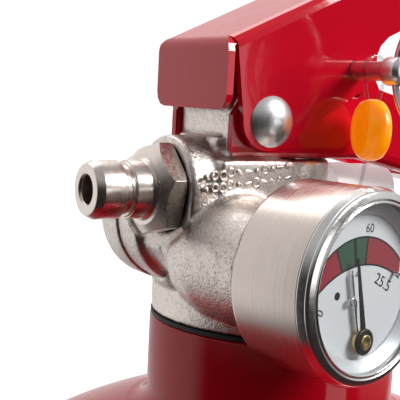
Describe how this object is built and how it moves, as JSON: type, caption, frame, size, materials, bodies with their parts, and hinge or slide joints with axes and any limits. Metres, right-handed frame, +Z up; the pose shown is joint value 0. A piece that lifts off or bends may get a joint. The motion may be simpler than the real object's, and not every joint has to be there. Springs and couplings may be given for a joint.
{
  "type": "portable fire extinguisher",
  "caption": "Portable stored-pressure fire extinguisher: red steel cylinder, nickel-plated squeeze-grip valve, safety pin with seal, outlet nipple and pressure gauge.",
  "frame": {"origin": "on the cylinder's axis at floor level, the bottom of the foot ring", "axes": "+Z up along the cylinder's axis, -X along the outlet nipple, +X along the two grips, -Y on the gauge's side"},
  "size_m": [0.1744, 0.1528, 0.5502],
  "materials": {
    "red_paint": "glossy red powder coat",
    "foot_plastic": "matt black moulded plastic",
    "label": "plain printed film",
    "tube_plastic": "natural white plastic",
    "cast_nickel": "nickel-plated sand casting, grainy satin",
    "turned_nickel": "nickel-plated turned brass",
    "raw_brass": "turned brass",
    "black_rubber": "black rubber",
    "spring_steel": "bright spring wire",
    "bright_steel": "satin zinc-plated steel",
    "seal_plastic": "translucent orange plastic",
    "nylon": "clear nylon thread",
    "copper": "soft copper",
    "case_steel": "brushed stainless",
    "bezel_steel": "polished stainless",
    "dial_white": "white enamel dial",
    "pointer_black": "matt black",
    "window_clear": "clear"
  },
  "bodies": {
    "extinguisher": {"cylinder_shell": "red_paint", "neck_ring": "red_paint", "foot_ring": "foot_plastic", "label_band": "label", "siphon_tube": "tube_plastic", "siphon_holder": "raw_brass", "neck_gasket": "black_rubber", "valve_body": "cast_nickel", "stem_seal": "black_rubber", "stem_spring": "spring_steel", "gland_nut": "turned_nickel", "outlet_nipple": "turned_nickel", "nipple_seal": "black_rubber", "relief_body": "turned_nickel", "relief_spring": "spring_steel", "side_cap": "cast_nickel", "side_cap_seal": "black_rubber", "carry_handle": "red_paint", "pivot_rivet": "bright_steel", "gauge_socket": "raw_brass", "gauge_washer": "copper", "gauge_case": "case_steel", "gauge_bourdon": "raw_brass", "gauge_movement": "raw_brass", "gauge_dial": "dial_white", "gauge_stop": "bright_steel", "gauge_spacer": "dial_white", "gauge_window": "window_clear", "gauge_bezel": "bezel_steel"},
    "lever": {"operating_lever": "red_paint"},
    "stem": {"valve_stem": "bright_steel", "seat_washer": "black_rubber"},
    "pin": {"safety_pin": "bright_steel", "pull_ring": "bright_steel"},
    "seal": {"seal_body": "seal_plastic", "seal_thread": "nylon"},
    "pointer": {"gauge_pointer": "pointer_black", "pointer_hub": "raw_brass"},
    "relief": {"relief_poppet": "black_rubber"}
  },
  "joints": [
    {"name": "lever_squeeze", "type": "hinge", "parent": "extinguisher", "child": "lever", "pos_m": [-0.01315, 0, 0.497], "axis": [0, 1, 0], "range_deg": [0, 9], "stiffness_Nm_per_rad": 6, "springref_deg": -8.59},
    {"name": "stem_press", "type": "slide", "parent": "extinguisher", "child": "stem", "axis": [0, 0, -1], "range_m": [0, 0.0036], "deforming": ["stem_spring"]},
    {"name": "pin_pull", "type": "slide", "parent": "lever", "child": "pin", "axis": [0, -1, 0], "range_m": [0, 0.036]},
    {"name": "seal_swing", "type": "hinge", "parent": "pin", "child": "seal", "pos_m": [0.0079, -0.0189, 0.5082], "axis": [0, 1, 0], "range_deg": [-15, 15]},
    {"name": "pointer_turn", "type": "hinge", "parent": "extinguisher", "child": "pointer", "pos_m": [-0.01311, -0.0437, 0.4601], "axis": [-0.1645, 0.9864, 0], "range_deg": [-47, 46], "stiffness_Nm_per_rad": 0.0002},
    {"name": "relief_lift", "type": "slide", "parent": "extinguisher", "child": "relief", "axis": [1, 0, 0], "range_m": [0, 0.002], "stiffness_N_per_m": 2000, "springref_m": -0.002, "deforming": ["relief_spring"]}
  ],
  "couplings": [
    {"joint": "stem_press", "follows": "lever_squeeze", "m_per_rad": 0.0225}
  ]
}
